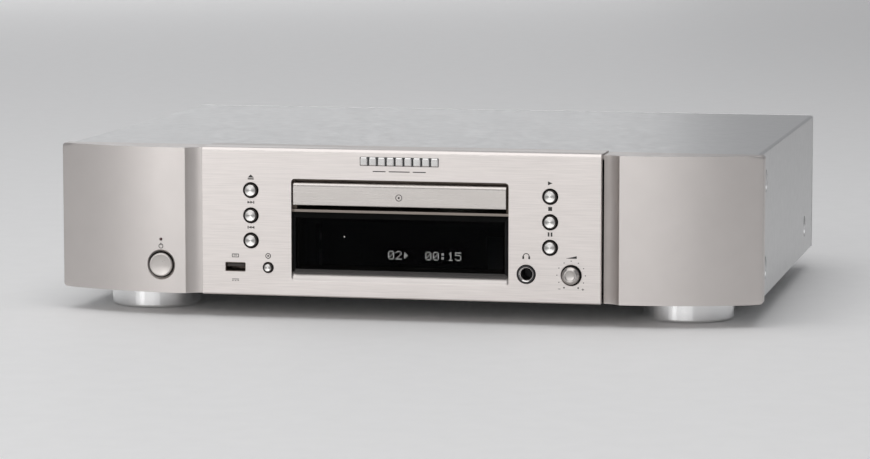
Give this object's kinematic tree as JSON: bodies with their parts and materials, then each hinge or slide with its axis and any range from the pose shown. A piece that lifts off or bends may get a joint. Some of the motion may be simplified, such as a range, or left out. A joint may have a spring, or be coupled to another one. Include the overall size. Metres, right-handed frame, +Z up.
{
  "type": "cd player",
  "caption": "Full-width hi-fi disc player with a motorised loading tray, display window, push buttons, headphone socket and rear sockets, standing on round feet.",
  "frame": {"origin": "middle of the bounding box's base, on the surface that the feet stand on", "axes": "+X to the right as the front is looked at, +Y from the front to the rear sockets, +Z up"},
  "size_m": [0.44, 0.341, 0.105],
  "materials": {
    "champagne_aluminium": "horizontally brushed, satin anodised, warm silver",
    "champagne_plastic": "satin metallic paint, warm silver",
    "silver_paint": "fine satin silver powder coat on steel",
    "black_paint": "fine textured black paint on steel",
    "zinc_steel": "bright zinc-plated steel",
    "polished_metal": "polished or spun bright metal",
    "black_plastic": "moulded black plastic",
    "gloss_black": "glossy black moulding",
    "smoked_acrylic": "dark smoked clear acrylic",
    "circuit_board": "green solder mask with parts",
    "white_plastic": "natural acetal",
    "rubber": "black rubber",
    "red_lens": "clear red light pipe, unlit"
  },
  "bodies": {
    "chassis": {"fascia_plate": "champagne_aluminium", "wing_left": "champagne_plastic", "wing_right": "champagne_plastic", "top_cover": "silver_paint", "rear_panel": "black_paint", "chassis_base": "zinc_steel", "clamp_bridge": "zinc_steel", "level_pot": "zinc_steel", "usb_socket": "zinc_steel", "loading_motor": "zinc_steel", "power_transformer": "zinc_steel", "foot_front_left": "polished_metal", "foot_front_right": "polished_metal", "nameplate": "polished_metal", "front_frame": "black_plastic", "foot_rear_left": "black_plastic", "foot_rear_right": "black_plastic", "headphone_jack": "black_plastic", "loader_frame": "black_plastic", "analog_jacks": "black_plastic", "digital_jacks": "black_plastic", "remote_jacks": "black_plastic", "ac_inlet": "black_plastic", "window_bezel": "gloss_black", "display_lens": "smoked_acrylic", "display_module": "circuit_board", "left_button_board": "circuit_board", "right_button_board": "circuit_board", "power_board": "circuit_board", "main_board": "circuit_board", "foot_pad_front_left": "rubber", "foot_pad_front_right": "rubber", "foot_pad_rear_left": "rubber", "foot_pad_rear_right": "rubber", "loading_belt": "rubber", "power_led": "red_lens"},
    "tray": {"disc_tray": "black_plastic", "tray_front": "champagne_aluminium"},
    "loading_gear": {"loading_gear": "white_plastic"},
    "motor_pulley": {"motor_pulley": "white_plastic"},
    "traverse": {"traverse_plate": "zinc_steel", "spindle_motor": "zinc_steel", "guide_rod_left": "polished_metal", "guide_rod_right": "polished_metal", "feed_motor": "zinc_steel"},
    "spindle": {"turntable": "black_plastic"},
    "clamp": {"clamp_puck": "white_plastic"},
    "pickup": {"pickup_head": "black_plastic"},
    "feed_screw": {"feed_screw": "polished_metal"},
    "cam_slider": {"cam_slider": "white_plastic"},
    "power_button": {"power_button": "champagne_aluminium"},
    "eject_button": {"eject_button": "polished_metal"},
    "next_button": {"next_button": "polished_metal"},
    "previous_button": {"previous_button": "polished_metal"},
    "play_button": {"play_button": "polished_metal"},
    "stop_button": {"stop_button": "polished_metal"},
    "pause_button": {"pause_button": "polished_metal"},
    "source_button": {"source_button": "polished_metal"},
    "level_knob": {"level_knob": "champagne_aluminium"},
    "remote_switch": {"remote_switch": "black_plastic"}
  },
  "joints": [
    {"name": "tray_slide", "type": "slide", "parent": "chassis", "child": "tray", "axis": [0, -1, 0], "range_m": [0, 0.14]},
    {"name": "loading_gear_turn", "type": "hinge", "parent": "chassis", "child": "loading_gear", "pos_m": [0.0315, -0.1207, 0.065], "axis": [0, 0, -1], "range_deg": [0, 490]},
    {"name": "motor_pulley_turn", "type": "hinge", "parent": "chassis", "child": "motor_pulley", "pos_m": [-0.02, -0.1207, 0.063], "axis": [0, 0, -1], "range_deg": [0, 1900]},
    {"name": "traverse_tilt", "type": "hinge", "parent": "chassis", "child": "traverse", "pos_m": [0, 0.0063, 0.061], "axis": [1, 0, 0], "range_deg": [0, 5.5]},
    {"name": "cam_slide", "type": "slide", "parent": "chassis", "child": "cam_slider", "axis": [1, 0, 0], "range_m": [0, 0.02]},
    {"name": "spindle_turn", "type": "hinge", "parent": "traverse", "child": "spindle", "pos_m": [0, -0.0857, 0.078], "axis": [0, 0, 1], "continuous": true},
    {"name": "clamp_turn", "type": "hinge", "parent": "chassis", "child": "clamp", "pos_m": [0, -0.0857, 0.088], "axis": [0, 0, 1], "continuous": true},
    {"name": "pickup_slide", "type": "slide", "parent": "traverse", "child": "pickup", "axis": [0, 1, 0], "range_m": [0, 0.034]},
    {"name": "feed_screw_turn", "type": "hinge", "parent": "traverse", "child": "feed_screw", "pos_m": [-0.03, -0.0733, 0.0665], "axis": [0, 1, 0], "range_deg": [0, 4100]},
    {"name": "power_press", "type": "slide", "parent": "chassis", "child": "power_button", "axis": [0, 1, 0], "range_m": [0, 0.0025], "stiffness_N_per_m": 600},
    {"name": "eject_press", "type": "slide", "parent": "chassis", "child": "eject_button", "axis": [0, 1, 0], "range_m": [0, 0.0012], "stiffness_N_per_m": 500},
    {"name": "next_press", "type": "slide", "parent": "chassis", "child": "next_button", "axis": [0, 1, 0], "range_m": [0, 0.0012], "stiffness_N_per_m": 500},
    {"name": "previous_press", "type": "slide", "parent": "chassis", "child": "previous_button", "axis": [0, 1, 0], "range_m": [0, 0.0012], "stiffness_N_per_m": 500},
    {"name": "play_press", "type": "slide", "parent": "chassis", "child": "play_button", "axis": [0, 1, 0], "range_m": [0, 0.0012], "stiffness_N_per_m": 500},
    {"name": "stop_press", "type": "slide", "parent": "chassis", "child": "stop_button", "axis": [0, 1, 0], "range_m": [0, 0.0012], "stiffness_N_per_m": 500},
    {"name": "pause_press", "type": "slide", "parent": "chassis", "child": "pause_button", "axis": [0, 1, 0], "range_m": [0, 0.0012], "stiffness_N_per_m": 500},
    {"name": "source_press", "type": "slide", "parent": "chassis", "child": "source_button", "axis": [0, 1, 0], "range_m": [0, 0.0012], "stiffness_N_per_m": 500},
    {"name": "level_turn", "type": "hinge", "parent": "chassis", "child": "level_knob", "pos_m": [0.1062, -0.1657, 0.0314], "axis": [0, 1, 0], "range_deg": [-150, 150]},
    {"name": "remote_switch_slide", "type": "slide", "parent": "chassis", "child": "remote_switch", "axis": [1, 0, 0], "range_m": [0, 0.003]}
  ],
  "couplings": [
    {"joint": "loading_gear_turn", "follows": "tray_slide", "rad_per_m": 60.606},
    {"joint": "motor_pulley_turn", "follows": "tray_slide", "rad_per_m": 236.04},
    {"joint": "cam_slide", "follows": "traverse_tilt", "m_per_rad": 0.2083},
    {"joint": "clamp_turn", "follows": "spindle_turn", "ratio": 1},
    {"joint": "feed_screw_turn", "follows": "pickup_slide", "rad_per_m": 2094.4}
  ]
}
